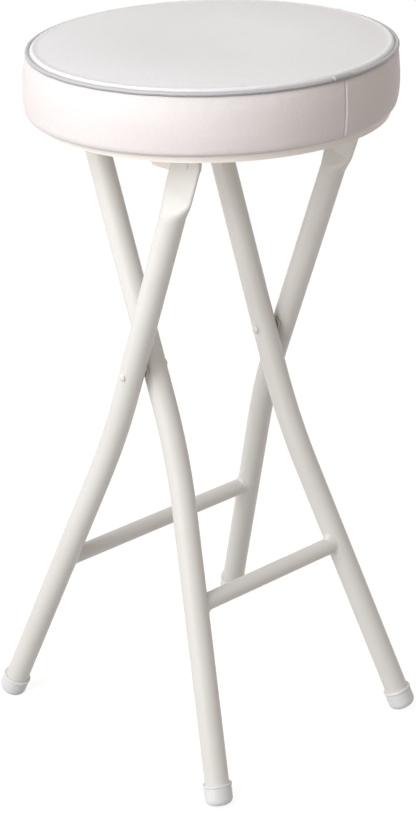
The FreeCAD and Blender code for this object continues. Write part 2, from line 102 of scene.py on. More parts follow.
# Painted shade and wear: a shade grey for seams and grooves, dirt at the floor, and how much darker or
# paler a worn colour or grain valley is
SHADE_GREY = (0.16, 0.155, 0.165)
GRIME_GREY = (0.45, 0.43, 0.40)
GRIME_HEIGHT = 7 * MM
SCUFF_SHADE = 0.86
RUBBED_SHADE = 1.06
VALLEY_SHADE = 0.94


def new_material(name):
    """A material with nodes, its shader, and a short way to add linked nodes."""
    material = bpy.data.materials.new(name)
    material.use_nodes = True
    tree = material.node_tree
    shader = tree.nodes["Principled BSDF"]

    def add(kind, links=None, **settings):
        node = tree.nodes.new(kind)
        for key, value in settings.items():
            if key in node.inputs:
                node.inputs[key].default_value = value
            else:
                setattr(node, key, value)
        for socket, source in (links or {}).items():
            tree.links.new(source, node.inputs[socket])
        return node

    def join(source, socket):
        tree.links.new(source, shader.inputs[socket])

    return material, shader, add, join


def ramp(add, source, stops):
    """A colour ramp over a source, from (place, grey or colour) stops."""
    node = add("ShaderNodeValToRGB", {"Fac": source})
    elements = node.color_ramp.elements
    while len(elements) < len(stops):
        elements.new(0.5)
    for element, (place, colour) in zip(elements, stops):
        element.position = place
        if isinstance(colour, (int, float)):
            colour = (colour, colour, colour)
        element.color = (*colour, 1)
    return node


def mixed(add, factor, a, b):
    """A colour mixed from two, by a socket or a number."""
    node = add("ShaderNodeMix", data_type="RGBA")
    for index, value in ((6, a), (7, b)):
        if isinstance(value, tuple):
            node.inputs[index].default_value = (*value, 1)
        else:
            node.id_data.links.new(value, node.inputs[index])
    if isinstance(factor, (int, float)):
        node.inputs[0].default_value = factor
    else:
        node.id_data.links.new(factor, node.inputs[0])
    return node.outputs[2]


def paint(name, colour, warm, roughness=0.36, peel=0.25, scuffed=True):
    """Satin powder coat: fine orange peel, slow colour drift, faint scuffs and rubbed edges."""
    material, shader, add, join = new_material(name)
    place = add("ShaderNodeTexCoord").outputs["Object"]
    drift = add("ShaderNodeTexNoise", {"Vector": place}, Scale=14.0, Detail=4.0, Roughness=0.55)
    drift_amount = ramp(add, drift.outputs["Fac"], [(0.35, 0.0), (0.7, 1.0)])
    base = mixed(add, drift_amount.outputs["Color"], colour, warm)
    if scuffed:
        scuff = add("ShaderNodeTexNoise", {"Vector": place}, Scale=85.0, Detail=6.0, Roughness=0.7,
                    Distortion=0.6)
        scuff_mask = ramp(add, scuff.outputs["Fac"], [(0.66, 0.0), (0.78, 1.0)])
        base = mixed(add, scuff_mask.outputs["Color"], base, tuple(c * SCUFF_SHADE for c in warm))
    geometry = add("ShaderNodeNewGeometry")
    edge = ramp(add, geometry.outputs["Pointiness"], [(0.51, 0.0), (0.60, 0.35)])
    rubbed = tuple(min(1.0, c * RUBBED_SHADE) for c in colour)
    base = mixed(add, edge.outputs["Color"], base, rubbed)
    join(base, "Base Color")
    grain = add("ShaderNodeTexNoise", {"Vector": place}, Scale=900.0, Detail=2.0, Roughness=0.5)
    waves = add("ShaderNodeTexNoise", {"Vector": place}, Scale=160.0, Detail=3.0, Roughness=0.6)
    heights = add("ShaderNodeMath", {0: grain.outputs["Fac"], 1: waves.outputs["Fac"]}, operation="ADD")
    bump = add("ShaderNodeBump", {"Height": heights.outputs[0]}, Strength=peel, Distance=0.00012)
    join(bump.outputs["Normal"], "Normal")
    rough = ramp(add, waves.outputs["Fac"], [(0.3, roughness - 0.06), (0.75, roughness + 0.10)])
    join(rough.outputs["Color"], "Roughness")
    shader.inputs["Coat Weight"].default_value = 0.12
    shader.inputs["Coat Roughness"].default_value = 0.25
    shader.inputs["IOR"].default_value = 1.5
    return material


def vinyl(name, colour, shade, roughness=0.46):
    """Leathercloth: a pebbled grain, soft creases, a slight change of tone, and shade along the seams."""
    material, shader, add, join = new_material(name)
    place = add("ShaderNodeTexCoord").outputs["Object"]
    drift = add("ShaderNodeTexNoise", {"Vector": place}, Scale=9.0, Detail=5.0, Roughness=0.6)
    drift_amount = ramp(add, drift.outputs["Fac"], [(0.3, 0.0), (0.75, 1.0)])
    base = mixed(add, drift_amount.outputs["Color"], colour, shade)
    cells = add("ShaderNodeTexVoronoi", {"Vector": place}, Scale=620.0, feature="DISTANCE_TO_EDGE")
    valleys = ramp(add, cells.outputs["Distance"], [(0.0, 0.0), (0.22, 1.0)])
    base = mixed(add, valleys.outputs["Color"], tuple(c * VALLEY_SHADE for c in shade), base)
    # Painted shade: the crease attribute mixes the colour towards a grey where shade falls in seams,
    # grooves, folds and on the piping's lower side
    crease = add("ShaderNodeAttribute", attribute_name="crease")
    base = mixed(add, crease.outputs["Fac"], base, SHADE_GREY)
    join(base, "Base Color")
    fine = add("ShaderNodeTexNoise", {"Vector": place}, Scale=1400.0, Detail=3.0, Roughness=0.6)
    creases = add("ShaderNodeTexNoise", {"Vector": place}, Scale=60.0, Detail=4.0, Roughness=0.55,
                  Distortion=0.8)
    pebbles = add("ShaderNodeBump", {"Height": valleys.outputs["Color"]}, Strength=0.35, Distance=0.00018)
    skin = add("ShaderNodeBump", {"Height": fine.outputs["Fac"], "Normal": pebbles.outputs["Normal"]},
               Strength=0.15, Distance=0.0001)
    soft = add("ShaderNodeBump", {"Height": creases.outputs["Fac"], "Normal": skin.outputs["Normal"]},
               Strength=0.12, Distance=0.0012)
    join(soft.outputs["Normal"], "Normal")
    rough = ramp(add, creases.outputs["Fac"], [(0.3, roughness - 0.05), (0.75, roughness + 0.10)])
    join(rough.outputs["Color"], "Roughness")
    shader.inputs["Specular IOR Level"].default_value = 0.28
    return material


def cap_plastic():
    """Soft white vinyl of the foot caps, a little see-through at its thin rim, scuffed at the floor."""
    material, shader, add, join = new_material("cap_plastic")
    place = add("ShaderNodeTexCoord").outputs["Object"]
    drift = add("ShaderNodeTexNoise", {"Vector": place}, Scale=40.0, Detail=4.0, Roughness=0.6)
    amount = ramp(add, drift.outputs["Fac"], [(0.35, 0.0), (0.7, 1.0)])
    base = mixed(add, amount.outputs["Color"], (0.80, 0.81, 0.82), (0.72, 0.725, 0.73))
    height = add("ShaderNodeSeparateXYZ", {"Vector": place})
    low = add("ShaderNodeMapRange", {"Value": height.outputs["Z"]}, **{"From Max": GRIME_HEIGHT})
    grime_noise = add("ShaderNodeTexNoise", {"Vector": place}, Scale=260.0, Detail=5.0, Roughness=0.7)
    inverse = add("ShaderNodeMath", {1: low.outputs["Result"]}, operation="SUBTRACT")
    inverse.inputs[0].default_value = 1.0
    grime = add("ShaderNodeMath", {0: inverse.outputs[0], 1: grime_noise.outputs["Fac"]},
                operation="MULTIPLY")
    base = mixed(add, grime.outputs[0], base, GRIME_GREY)
    join(base, "Base Color")
    fine = add("ShaderNodeTexNoise", {"Vector": place}, Scale=700.0, Detail=3.0, Roughness=0.6)
    bump = add("ShaderNodeBump", {"Height": fine.outputs["Fac"]}, Strength=0.2, Distance=0.0001)
    join(bump.outputs["Normal"], "Normal")
    rough = ramp(add, drift.outputs["Fac"], [(0.3, 0.34), (0.7, 0.48)])
    join(rough.outputs["Color"], "Roughness")
    shader.inputs["Subsurface Weight"].default_value = 0.08
    shader.inputs["Subsurface Radius"].default_value = (0.004, 0.004, 0.004)
    return material


def shaded_nylon():
    """Nylon of the spacers and washers, greyed as painted shade in the pivots' gaps."""
    material, shader, add, join = new_material("shaded_nylon")
    place = add("ShaderNodeTexCoord").outputs["Object"]
    drift = add("ShaderNodeTexNoise", {"Vector": place}, Scale=120.0, Detail=4.0)
    amount = ramp(add, drift.outputs["Fac"], [(0.35, 0.0), (0.7, 1.0)])
    # Painted shade: the spacers' white nylon is given a mid grey for the dark gaps at the pivots
    join(mixed(add, amount.outputs["Color"], (0.50, 0.48, 0.44), (0.42, 0.40, 0.36)), "Base Color")
    bump = add("ShaderNodeBump", {"Height": drift.outputs["Fac"]}, Strength=0.2, Distance=0.0001)
    join(bump.outputs["Normal"], "Normal")
    shader.inputs["Roughness"].default_value = 0.45
    return material


def zinc():
    """Zinc plating with a dull bloom."""
    material, shader, add, join = new_material("zinc")
    place = add("ShaderNodeTexCoord").outputs["Object"]
    bloom = add("ShaderNodeTexNoise", {"Vector": place}, Scale=300.0, Detail=5.0, Roughness=0.65)
    amount = ramp(add, bloom.outputs["Fac"], [(0.35, 0.0), (0.7, 1.0)])
    join(mixed(add, amount.outputs["Color"], (0.62, 0.62, 0.60), (0.45, 0.45, 0.44)), "Base Color")
    rough = ramp(add, bloom.outputs["Fac"], [(0.3, 0.28), (0.7, 0.5)])
    join(rough.outputs["Color"], "Roughness")
    bump = add("ShaderNodeBump", {"Height": bloom.outputs["Fac"]}, Strength=0.2, Distance=0.00008)
    join(bump.outputs["Normal"], "Normal")
    shader.inputs["Metallic"].default_value = 1.0
    return material


def plywood():
    """Birch plywood: long face grain, fine pores and a warm tone."""
    material, shader, add, join = new_material("plywood")
    place = add("ShaderNodeTexCoord").outputs["Object"]
    stretch = add("ShaderNodeMapping", {"Vector": place})
    stretch.inputs["Scale"].default_value = (6.0, 90.0, 90.0)
    grain = add("ShaderNodeTexNoise", {"Vector": stretch.outputs["Vector"]}, Scale=3.0, Detail=8.0,
                Roughness=0.65)
    amount = ramp(add, grain.outputs["Fac"], [(0.35, 0.0), (0.65, 1.0)])
    join(mixed(add, amount.outputs["Color"], (0.66, 0.50, 0.33), (0.50, 0.35, 0.21)), "Base Color")
    bump = add("ShaderNodeBump", {"Height": grain.outputs["Fac"]}, Strength=0.3, Distance=0.0002)
    join(bump.outputs["Normal"], "Normal")
    shader.inputs["Roughness"].default_value = 0.7
    return material


def open_foam():
    """Pale open-cell foam."""
    material, shader, add, join = new_material("open_foam")
    place = add("ShaderNodeTexCoord").outputs["Object"]
    cells = add("ShaderNodeTexVoronoi", {"Vector": place}, Scale=900.0)
    amount = ramp(add, cells.outputs["Distance"], [(0.1, 0.0), (0.6, 1.0)])
    join(mixed(add, amount.outputs["Color"], (0.82, 0.76, 0.58), (0.70, 0.62, 0.44)), "Base Color")
    bump = add("ShaderNodeBump", {"Height": cells.outputs["Distance"]}, Strength=0.6, Distance=0.0004)
    join(bump.outputs["Normal"], "Normal")
    shader.inputs["Roughness"].default_value = 0.9
    return material


CREAM = (0.74, 0.728, 0.70)
CREAM_WARM = (0.71, 0.693, 0.66)
FRAME_PAINT = paint("frame_paint", CREAM, CREAM_WARM)
# Painted light: the pan's cream is paler than the frame's, for light bounced up onto its downward-facing
# rim
LIT_PAN_PAINT = paint("pan_paint_lit", (0.90, 0.86, 0.81), (0.87, 0.83, 0.78), roughness=0.4)
RIVET_PAINT = paint("rivet_paint", (0.80, 0.79, 0.76), CREAM_WARM, roughness=0.3, peel=0.1, scuffed=False)
VINYL_TOP = vinyl("vinyl_top", (0.89, 0.89, 0.905), (0.87, 0.87, 0.885))
VINYL_BAND = vinyl("vinyl_band", (0.82, 0.77, 0.77), (0.80, 0.75, 0.75))
# Painted shade: the piping's pale vinyl is given a darker grey than the top's, for the shade along its
# front
SHADED_VINYL_PIPING = vinyl("vinyl_piping_shaded", (0.66, 0.66, 0.69), (0.62, 0.62, 0.645), roughness=0.36)
CAP = cap_plastic()
SHADED_NYLON = shaded_nylon()
ZINC = zinc()
PLYWOOD = plywood()
FOAM = open_foam()

SLOT_MATERIALS = {
    "frame_paint": FRAME_PAINT, "seat_metal": LIT_PAN_PAINT, "foot_cap": CAP, "washer": SHADED_NYLON,
    "rivet": RIVET_PAINT, "screw": ZINC, "board": PLYWOOD, "foam": FOAM,
    "vinyl_top": VINYL_TOP, "vinyl_band": VINYL_BAND, "piping": SHADED_VINYL_PIPING,
}


def dress_nodes():
    """Gives each carried-over node the material of its slot."""
    slots = {part["node"]: part["material_slot"] for part in frame["record"]["subparts"]}
    for name, obj in frame["nodes"].items():
        obj.data.materials.clear()
        obj.data.materials.append(SLOT_MATERIALS[slots[name]])


def mesh_object(name, vertices, faces, material, smooth=True):
    """A new mesh object in the scene."""
    data = bpy.data.meshes.new(name)
    data.from_pydata([tuple(v) for v in vertices], [], faces)
    data.materials.append(material)
    data.polygons.foreach_set("use_smooth", [smooth] * len(data.polygons))
    obj = bpy.data.objects.new(name, data)
    bpy.context.scene.collection.objects.link(obj)
    return obj


def darken(obj, amounts):
    """Stores how much painted shade each point gets, from 0 to 1, in seams, grooves, folds and on the
    piping's lower side.
    """
    crease = obj.data.attributes.new("crease", "FLOAT", "POINT")
    crease.data.foreach_set("value", np.asarray(amounts, np.float32).ravel())


def piece(obj, body, slot, *replaced):
    """Makes an object ride on a body and stand for CAD nodes, which it hides."""
    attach(obj, body)
    if replaced:
        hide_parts(*replaced)


def angle_between(a, b):
    """Signed turn from b to a, between minus and plus half a turn."""
    return (a - b + math.pi) % (2 * math.pi) - math.pi


def full_turn(count):
    """Equal angles round the seat, from +X towards +Y."""
    return np.linspace(0, 2 * math.pi, count, endpoint=False)


def bell(x, middle, width):
    """A smooth bump, one at its middle and nothing a few widths away."""
    return np.exp(-((x - middle) / width) ** 2)


# The cushion before it is stuffed, as a lathe outline: its fold on the pan, its side, its seam and its top
COLUMNS = 216
FOLD_RADIUS = PAN_RADIUS - 9.0 * MM
FOLD_PLAY = 0.4 * MM
ROLL_RADIUS = 6.5 * MM
OVERHANG = 1.3 * MM
ROLL_ROWS = 5
ROLL_START = math.radians(-80)
SIDE_ROWS = 9
TOP_ROWS = 32
SIDE_RADIUS = BAND_RADIUS - 0.8 * MM
SIDE_DRAW = 4.0
SEAM_RADIUS = PIPING_RING - 0.4 * MM
SEAM_Z = PIPING_Z - 0.2 * MM
START_CROWN = 1.2 * MM
SEAM_ROW = 2 + ROLL_ROWS + SIDE_ROWS
PINNED_ROWS = 1 + ROLL_ROWS

# The cushion sits a little to one side of its pan and sags there
LEAN_ANGLE = math.radians(-129.9)
LEAN = 1.6 * MM
SAG_OUT = 1.0 * MM
SAG_DOWN = 1.6 * MM
SAG_ROW = 4
SAG_ROWS = 3.5
LEAN_ROWS_BELOW = 2
LEAN_ROWS_ABOVE = 3

# The stuffing: the cover's cloth, and how many folds round it stay near its middle and outside
CLOTH = {
    "quality": 6, "mass": 0.3, "tension_stiffness": 30, "compression_stiffness": 30,
    "shear_stiffness": 15, "bending_stiffness": 0.5, "use_pressure": True,
    "uniform_pressure_force": 1.0, "shrink_min": -0.01, "vertex_group_mass": "held",
}
FRAMES = 20
LARGEST_MOVE = 7.0 * MM
FOLDS_INSIDE = 0.15
FOLDS_OUTSIDE = 16
FOLDS_GROWTH = 1.5


def cushion_outline():
    """(radius, height) of each row of the slack cushion, from the fold below to beside the top's middle."""
    roll_z = BAND_BOTTOM - OVERHANG + ROLL_RADIUS
    rows = [(FOLD_RADIUS, BAND_BOTTOM), (PAN_RADIUS + FOLD_PLAY, BAND_BOTTOM)]
    for step in range(ROLL_ROWS):
        turn = ROLL_START * (1 - step / ROLL_ROWS)
        radius = SIDE_RADIUS - ROLL_RADIUS * (1 - math.cos(turn))
        rows.append((radius, roll_z + ROLL_RADIUS * math.sin(turn)))
    for step in range(SIDE_ROWS + 1):
        share = step / SIDE_ROWS
        drawn_in = (SEAM_RADIUS - SIDE_RADIUS) * share ** SIDE_DRAW
        rows.append((SIDE_RADIUS + drawn_in, roll_z + (SEAM_Z - roll_z) * share))
    for step in range(1, TOP_ROWS):
        share = 1 - step / TOP_ROWS
        rows.append((SEAM_RADIUS * share, SEAM_Z + START_CROWN * (1 - share ** 2)))
    return rows


def leaned(grid, angles):
    """The lathe's rows with the side set off and sagging one way, but the fold and seam in place."""
    grid = grid.copy()
    rows = np.arange(len(grid))
    side = np.clip((rows - 1) / LEAN_ROWS_BELOW, 0, 1)
    side *= np.clip((SEAM_ROW - rows) / LEAN_ROWS_ABOVE, 0, 1)
    low = bell(rows, SAG_ROW, SAG_ROWS) * np.clip(rows - 1, 0, 1)
    facing = np.clip(np.cos(angles - LEAN_ANGLE), 0, 1)
    out = SAG_OUT * low[:, None] * facing
    grid[:, :, 0] += side[:, None] * LEAN * math.cos(LEAN_ANGLE) + out * np.cos(angles)
    grid[:, :, 1] += side[:, None] * LEAN * math.sin(LEAN_ANGLE) + out * np.sin(angles)
    grid[:, :, 2] -= SAG_DOWN * low[:, None] * facing
    return grid


def lathe_grid(rows, angles):
    """Points of an outline turned round the seat's centre, as an array of rows by angles by three."""
    outline = np.array(rows)
    radius, height = outline[:, :1], outline[:, 1:]
    level = height + 0 * angles
    return np.stack([SEAT_X + radius * np.cos(angles), radius * np.sin(angles), level], axis=-1)


def grid_faces(rows, columns, first=0):
    """Quads between neighbouring rows of a closed ring of columns."""
    row, column = np.meshgrid(np.arange(rows - 1), np.arange(columns), indexing="ij")
    beside = (column + 1) % columns
    corners = [row * columns + column, row * columns + beside,
               (row + 1) * columns + beside, (row + 1) * columns + column]
    return (np.stack([c.ravel() for c in corners], axis=-1) + first).tolist()


def end_fans(columns, last_row, top, bottom):
    """Triangles from a lathe shape's last row to a point above it, and from its first row to one below."""
    faces = []
    for column in range(columns):
        beside = (column + 1) % columns
        faces += [(last_row + column, last_row + beside, top), (beside, column, bottom)]
    return faces


def calmed(move):
    """Each row's movement with its small folds taken out, more so near the middle of the top."""
    rows = move.reshape(-1, COLUMNS, 3)
    waves = np.fft.rfft(rows, axis=1)
    inner = np.clip((len(rows) - np.arange(len(rows))) / TOP_ROWS, 0, 1)
    folds = FOLDS_INSIDE + FOLDS_OUTSIDE * inner[:, None] ** FOLDS_GROWTH
    kept = bell(np.arange(waves.shape[1]), 0, folds)
    return np.fft.irfft(waves * kept[:, :, None], COLUMNS, axis=1).reshape(-1, 3)


def stuffed_cushion():
    """The cushion's rows after its cover has been filled, by cloth simulation, with both seams held."""
    rows = cushion_outline()
    angles = full_turn(COLUMNS)
    start = leaned(lathe_grid(rows, angles), angles)
    points = start.reshape(-1, 3)
    centres = [(SEAT_X, 0, SEAM_Z + START_CROWN), (SEAT_X, 0, BAND_BOTTOM)]
    top, bottom = len(points), len(points) + 1
    faces = grid_faces(len(rows), COLUMNS) + end_fans(COLUMNS, top - COLUMNS, top, bottom)
    cover = mesh_object("cover", [*points, *centres], faces, VINYL_TOP)
    held = cover.vertex_groups.new(name="held")
    seam = range(SEAM_ROW * COLUMNS, (SEAM_ROW + 1) * COLUMNS)
    held.add([*range(PINNED_ROWS * COLUMNS), *seam, bottom], 1.0, "REPLACE")
    cloth = cover.modifiers.new("stuffing", "CLOTH").settings
    for setting, value in CLOTH.items():
        setattr(cloth, setting, value)
    cloth.effector_weights.gravity = 0
    for frame_number in range(1, FRAMES + 1):
        bpy.context.scene.frame_set(frame_number)
    shape = cover.evaluated_get(bpy.context.evaluated_depsgraph_get()).to_mesh()
    moved = np.empty(len(shape.vertices) * 3)
    shape.vertices.foreach_get("co", moved)
    bpy.data.objects.remove(cover)
    bpy.context.scene.frame_set(1)
    move = calmed(moved.reshape(-1, 3)[:len(points)] - points)
    length = np.maximum(np.linalg.norm(move, axis=1, keepdims=True), 1e-9)
    move *= LARGEST_MOVE * np.tanh(length / LARGEST_MOVE) / length
    return (points + move).reshape(start.shape)


def sampled(grid, places, wrap=False):
    """Smooth samples of a grid's rows at fractional places."""
    count = len(grid)
    whole = np.floor(places).astype(int)
    share = (places - whole)[:, None, None]
    near = [whole + step for step in (-1, 0, 1, 2)]
    near = [place % count for place in near] if wrap else [place.clip(0, count - 1) for place in near]
    a, b, c, d = (grid[place] for place in near)
    return b + share / 2 * (c - a + share * (2 * a - 5 * b + 4 * c - d + share * (3 * (b - c) + d - a)))


def finer(grid, row_places, angles):
    """A part of the cushion's grid at chosen rows and angles."""
    rows = sampled(grid, np.asarray(row_places, float))
    columns = (np.asarray(angles) % (2 * math.pi)) * COLUMNS / (2 * math.pi)
    return sampled(rows.transpose(1, 0, 2), columns, wrap=True).transpose(1, 0, 2)


def pushed_out(grid, push, lift=0.0):
    """Moves a grid's points away from the seat's axis and up."""
    flat = grid[:, :, :2] - np.array([SEAT_X, 0])
    radius = np.linalg.norm(flat, axis=2, keepdims=True)
    grid = grid.copy()
    grid[:, :, :2] += flat / radius * np.asarray(push)[..., None]
    grid[:, :, 2] += lift
    return grid


def noise_rows(angles, levels, scale, seed):
    """Smooth noise over a ring of angles at each of some levels."""
    return np.array([[noise.noise(Vector((math.cos(a) * scale, math.sin(a) * scale, level + seed)))
                      for a in angles] for level in levels])


def shell(name, grid, thickness, material):
    """A sheet of rows with a second layer behind it, closed along both edges."""
    inside = pushed_out(grid, np.full(grid.shape[:2], -thickness))
    rows, columns = grid.shape[:2]
    closed = np.concatenate([grid, inside[::-1], grid[:1]])
    points = closed[:-1].reshape(-1, 3)
    faces = grid_faces(2 * rows, columns)
    joined = (2 * rows - 1) * columns
    for column in range(columns):
        beside = (column + 1) % columns
        faces.append((joined + column, joined + beside, beside, column))
    return mesh_object(name, points, faces, material)


# Side band: gathers by the piping, slow waves, and the lap and crease of its seam
BAND_SEAM = math.radians(1.9)
BAND_COLUMNS = 900
SEAM_COLUMNS = 61
SEAM_REACH = 6.0 * MM
BAND_NOISE_RISE = 0.8
BAND_GATHER = 0.22 * MM
BAND_GATHER_NOISE = {"scale": 22, "seed": 5.0}
BAND_GATHER_SHARE = 0.90
BAND_GATHER_SPREAD = 0.07
BAND_WAVE = 0.5 * MM
BAND_WAVE_NOISE = {"scale": 2.4, "seed": 1.7}
BAND_LAP = 0.6 * MM
BAND_LAP_EDGE = 0.45 * MM
BAND_LAP_FADE = 9.0 * MM
BAND_CREASE = 0.5 * MM
CREASE_OFFSET = -0.9 * MM
CREASE_WIDTH = 0.7 * MM
LAP_RISE_BELOW = 9
LAP_RISE_ABOVE = 14
CREASE_SHADE = 0.30
CREASE_SHADE_BELOW = 0.35
SEAM_SHADE = 0.3
SEAM_SHADE_SPREAD = 0.025
FOLD_SHADE = 0.35
FOLD_SHADE_SPREAD = 0.16


def make_band(cushion):
    """Side band: small gathers along the piping, and its end lapped over its start."""
    near_seam = BAND_SEAM + np.linspace(-SEAM_REACH, SEAM_REACH, SEAM_COLUMNS) / BAND_RADIUS
    angles = np.unique(np.concatenate([full_turn(BAND_COLUMNS), near_seam % (2 * math.pi)]))
    places = np.concatenate([[0, 0.6], np.linspace(1, SEAM_ROW, 3 * (SEAM_ROW - 1) + 1)])
    band = finer(cushion, places, angles)
    share = np.clip((places - 1) / (SEAM_ROW - 1), 0, 1)[:, None]
    levels = share[:, 0] * BAND_NOISE_RISE
    gathers = noise_rows(angles, levels, **BAND_GATHER_NOISE) * BAND_GATHER
    gathers *= bell(share, BAND_GATHER_SHARE, BAND_GATHER_SPREAD)
    waves = noise_rows(angles, levels, **BAND_WAVE_NOISE) * BAND_WAVE * np.sin(math.pi * share)
    away = np.array([angle_between(a, BAND_SEAM) for a in angles]) * BAND_RADIUS
    lap = (0.5 + 0.5 * np.tanh(away / BAND_LAP_EDGE)) * np.exp(-np.maximum(away, 0) / BAND_LAP_FADE)
    crease = bell(away, CREASE_OFFSET, CREASE_WIDTH)
    fade = np.clip(share * LAP_RISE_BELOW - 1, 0, 1) * np.clip((1 - share) * LAP_RISE_ABOVE, 0, 1)
    band = pushed_out(band, gathers + waves + (BAND_LAP * lap - BAND_CREASE * crease) * fade)
    obj = shell("seat_band", band, THICKNESS, VINYL_BAND)
    # Painted shade: darker in the seam's crease, along the band's top under the piping, and at its fold on
    # the pan
    shade = CREASE_SHADE * crease * (CREASE_SHADE_BELOW + (1 - CREASE_SHADE_BELOW) * share)
    shade = shade + SEAM_SHADE * bell(share, 1, SEAM_SHADE_SPREAD)
    shade = np.clip(shade + FOLD_SHADE * bell(share, 0, FOLD_SHADE_SPREAD), 0, 1)
    darken(obj, np.concatenate([shade, shade[::-1]]))
    piece(obj, "seat", "vinyl_band", "cover_band")


# Piping: a slightly uneven welt, with a notch where its lapping end starts
PIPING_JOINT = math.radians(-3.1)
PIPING_COLUMNS = 1300
PIPING_SIDES = 18
PIPING_DRIFT = 0.25 * MM
PIPING_NOISE = {"levels": (0.0, 4.0), "scale": 9, "seed": 0.3}
PIPING_LIFT = 0.3 * MM
LAP_LENGTH = 19.0 * MM
LAP_LIFT = 0.7 * MM
LAP_EDGE = 0.5 * MM
LAP_TAPER = 1.5 * MM
NOTCH_OFFSET = -0.8 * MM
NOTCH_WIDTH = 0.6 * MM
PIPING_SHARE = 0.97
LAP_SHARE = 0.38
NOTCH_SHARE = 0.35
PIPING_SHADE = 0.40
PIPING_SHADE_TURN = 0.5
NOTCH_SHADE = 0.4
PIPING_SHADES = (0.22, 0.6)


def make_piping():
    """Piping round the top edge, one welt whose end laps over its start."""
    angles = full_turn(PIPING_COLUMNS)
    away = np.array([angle_between(a, PIPING_JOINT) for a in angles]) * PIPING_RING
    lap = (0.5 + 0.5 * np.tanh(away / LAP_EDGE)) / (1 + np.exp((away - LAP_LENGTH) / LAP_TAPER))
    notch = bell(away, NOTCH_OFFSET, NOTCH_WIDTH)
    radius = PIPING_RADIUS * (PIPING_SHARE + LAP_SHARE * lap - NOTCH_SHARE * notch)
    shift, lift = noise_rows(angles, **PIPING_NOISE) * PIPING_DRIFT
    ring = PIPING_RING + shift
    middle = PIPING_Z + lift + PIPING_LIFT + LAP_LIFT * lap
    turns = full_turn(PIPING_SIDES)
    welt = []
    for turn in turns:
        out = ring + radius * math.cos(turn)
        level = middle + radius * math.sin(turn)
        welt.append(np.stack([SEAT_X + out * np.cos(angles), out * np.sin(angles), level], axis=-1))
    points = np.array(welt).reshape(-1, 3)
    faces = np.array(grid_faces(PIPING_SIDES + 1, PIPING_COLUMNS)) % len(points)
    obj = mesh_object("seat_piping", points, faces.tolist(), SHADED_VINYL_PIPING)
    # Painted shade: darker on the piping's lower side and in its notch, paler on its top
    shade = PIPING_SHADE - PIPING_SHADE_TURN * np.sin(turns)[:, None] + NOTCH_SHADE * notch
    darken(obj, np.clip(shade, *PIPING_SHADES))
    piece(obj, "seat", "piping", "cover_piping")


# Top panel, from its seam inwards: the sewn groove, a soft roll, gathers, and slow waves
TOP_COLUMNS = 480
EDGE_ROWS = 1.6
EDGE_SAMPLES = 13
GROOVE_DEPTH = 1.9 * MM
GROOVE_WIDTH = 1.2 * MM
GROOVE_SHADE = 0.5
GROOVE_SHADE_WIDTH = 1.7 * MM
ROLL_HEIGHT = 0.9 * MM
ROLL_PLACE = 3.5 * MM
ROLL_WIDTH = 2.6 * MM
TOP_GATHER = 0.3 * MM
TOP_GATHER_PLACE = 4.0 * MM
TOP_GATHER_NOISE = {"scale": 24, "seed": 2.0}
TOP_GATHER_RISE = 60
TOP_WAVE = 0.5 * MM
TOP_WAVE_NOISE = {"scale": 1.6, "seed": 0.9}
TOP_WAVE_RISE = 9
WAVE_START = 30.0 * MM
WAVE_END = 60.0 * MM


def make_top(cushion):
    """Top panel: the stuffed crown, falling to a sewn groove beside the piping."""
    angles = full_turn(TOP_COLUMNS)
    rows_in = TOP_ROWS - 1
    edge = np.linspace(0, EDGE_ROWS, EDGE_SAMPLES)
    places = np.concatenate([edge, np.linspace(2, rows_in, 2 * rows_in - 3)])
    top = finer(cushion[SEAM_ROW:], places, angles)
    inward = SEAM_RADIUS - np.linalg.norm(top[:, :, :2] - np.array([SEAT_X, 0]), axis=2)
    groove = -GROOVE_DEPTH * bell(inward, 0, GROOVE_WIDTH)
    roll = ROLL_HEIGHT * bell(inward, ROLL_PLACE, ROLL_WIDTH)
    gathers = noise_rows(angles, inward[:, 0] * TOP_GATHER_RISE, **TOP_GATHER_NOISE) * TOP_GATHER
    gathers *= bell(inward, TOP_GATHER_PLACE, TOP_GATHER_PLACE)
    waves = noise_rows(angles, inward[:, 0] * TOP_WAVE_RISE, **TOP_WAVE_NOISE) * TOP_WAVE
    waves *= np.clip(inward / WAVE_START, 0, 1)
    waves *= np.clip((SEAM_RADIUS - inward) / WAVE_END, 0, 1) ** 2
    top[:, :, 2] += groove + roll + gathers + waves
    points = top.reshape(-1, 3)
    below = points - np.array([0, 0, THICKNESS])
    centre = top[-1].mean(axis=0)
    vertices = [*points, *below, centre, centre - np.array([0, 0, THICKNESS])]
    faces = grid_faces(len(top), TOP_COLUMNS)
    faces += [face[::-1] for face in grid_faces(len(top), TOP_COLUMNS, first=len(points))]
    upper, lower = len(points), 2 * len(points)
    for column in range(TOP_COLUMNS):
        beside = (column + 1) % TOP_COLUMNS
        faces.append((upper - TOP_COLUMNS + column, upper - TOP_COLUMNS + beside, lower))
        faces.append((lower - TOP_COLUMNS + beside, lower - TOP_COLUMNS + column, lower + 1))
        faces.append((beside, column, upper + column, upper + beside))
    obj = mesh_object("seat_top", vertices, faces, VINYL_TOP)
    # Painted shade: darker along the sewn groove beside the piping
    shade = GROOVE_SHADE * bell(inward, 0, GROOVE_SHADE_WIDTH).ravel()
    darken(obj, [*shade, *shade, 0, 0])
    piece(obj, "seat", "vinyl_top", "cover_top")


# Filling: its size against the inside of the cover, and the cover's row that it starts at
FOAM_SHARE = (0.983, 0.983, 0.92)
FOAM_COLUMNS = 180
FOAM_ROW = ROLL_ROWS + 4


